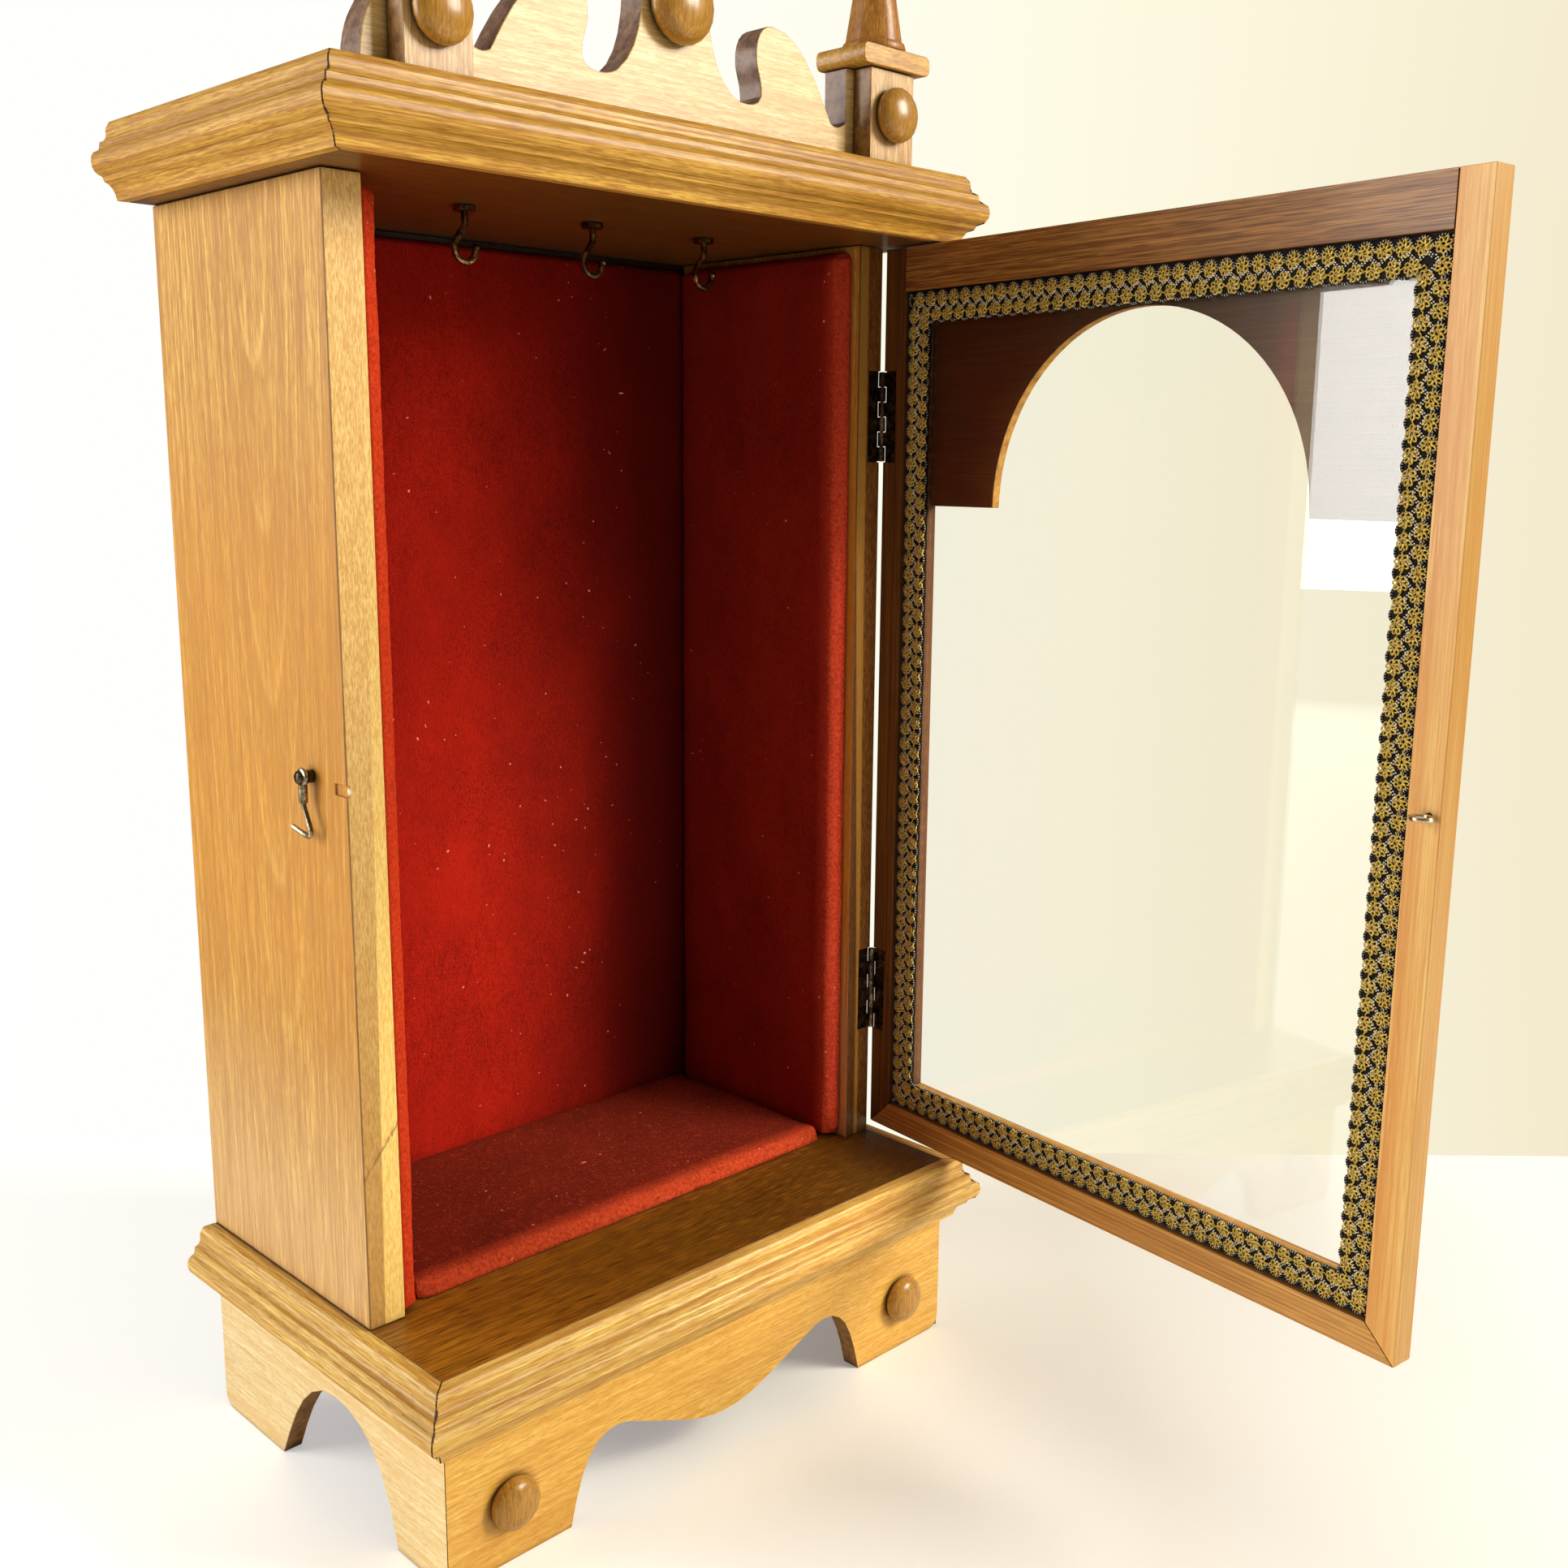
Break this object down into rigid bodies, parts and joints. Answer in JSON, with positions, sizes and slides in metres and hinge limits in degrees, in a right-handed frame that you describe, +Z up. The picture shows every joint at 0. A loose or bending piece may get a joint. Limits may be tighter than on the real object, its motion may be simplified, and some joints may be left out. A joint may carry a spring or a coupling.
{
  "type": "shrine cabinet",
  "caption": "Table-top wooden shrine cabinet with a glazed hinged door, velvet lining, cup hooks, moulded crown and base, scrolled pediment and turned spires.",
  "frame": {"origin": "on the ground, at the middle of the box round the cabinet with its door open as stored", "axes": "+Z up, +X to the cabinet's right seen from its front, +Y from its front to its back"},
  "size_m": [0.3084, 0.395, 0.6224],
  "materials": {
    "honey_wood": "satin varnish over honey veneer",
    "brown_wood": "satin varnish over brown stain",
    "pine": "varnished pine",
    "turned_wood": "glossy varnish",
    "velvet": "deep red velvet pile",
    "gold_braid": "gold and black braid",
    "glass": "clear sheet",
    "dark_iron": "darkened bronze",
    "nickel": "worn nickel"
  },
  "bodies": {
    "case": {"side_left": "honey_wood", "side_right": "honey_wood", "back_panel": "brown_wood", "deck_board": "brown_wood", "crown_board": "brown_wood", "crown_moulding_front": "honey_wood", "crown_moulding_left": "honey_wood", "crown_moulding_right": "honey_wood", "base_moulding_front": "honey_wood", "base_moulding_left": "honey_wood", "base_moulding_right": "honey_wood", "apron_front": "honey_wood", "apron_left": "honey_wood", "apron_right": "honey_wood", "apron_knob_left": "turned_wood", "apron_knob_right": "turned_wood", "pediment_board": "honey_wood", "pediment_knob": "turned_wood", "post_left": "honey_wood", "post_right": "honey_wood", "post_knob_left": "turned_wood", "post_knob_right": "turned_wood", "cap_left": "honey_wood", "cap_right": "honey_wood", "spire_left": "honey_wood", "spire_right": "honey_wood", "lining_back": "velvet", "lining_left": "velvet", "lining_right": "velvet", "lining_floor": "velvet", "cup_hook_left": "dark_iron", "cup_hook_middle": "dark_iron", "cup_hook_right": "dark_iron", "hinge_upper_case_leaf": "dark_iron", "hinge_upper_pin": "dark_iron", "hinge_lower_case_leaf": "dark_iron", "hinge_lower_pin": "dark_iron", "hinge_upper_case_screw_1": "dark_iron", "hinge_upper_case_screw_2": "dark_iron", "hinge_lower_case_screw_1": "dark_iron", "hinge_lower_case_screw_2": "dark_iron", "latch_screw": "nickel"},
    "door": {"stile_hinge": "pine", "stile_latch": "pine", "rail_top": "brown_wood", "rail_bottom": "pine", "glass_pane": "glass", "arch_board": "brown_wood", "braid_top": "gold_braid", "braid_bottom": "gold_braid", "braid_hinge": "gold_braid", "braid_latch": "gold_braid", "screw_eye": "nickel", "hinge_upper_door_leaf": "dark_iron", "hinge_lower_door_leaf": "dark_iron", "hinge_upper_door_screw_1": "dark_iron", "hinge_upper_door_screw_2": "dark_iron", "hinge_lower_door_screw_1": "dark_iron", "hinge_lower_door_screw_2": "dark_iron"},
    "latch": {"latch_hook": "nickel"}
  },
  "joints": [
    {"name": "door_swing", "type": "hinge", "parent": "case", "child": "door", "pos_m": [0.13315, 0.07573, 0.082], "axis": [0, 0, 1], "range_deg": [-83.3, 96.7]},
    {"name": "latch_hook_swing", "type": "hinge", "parent": "case", "child": "latch", "pos_m": [-0.13665, 0.09953, 0.2832], "axis": [-1, 0, 0], "continuous": true}
  ]
}
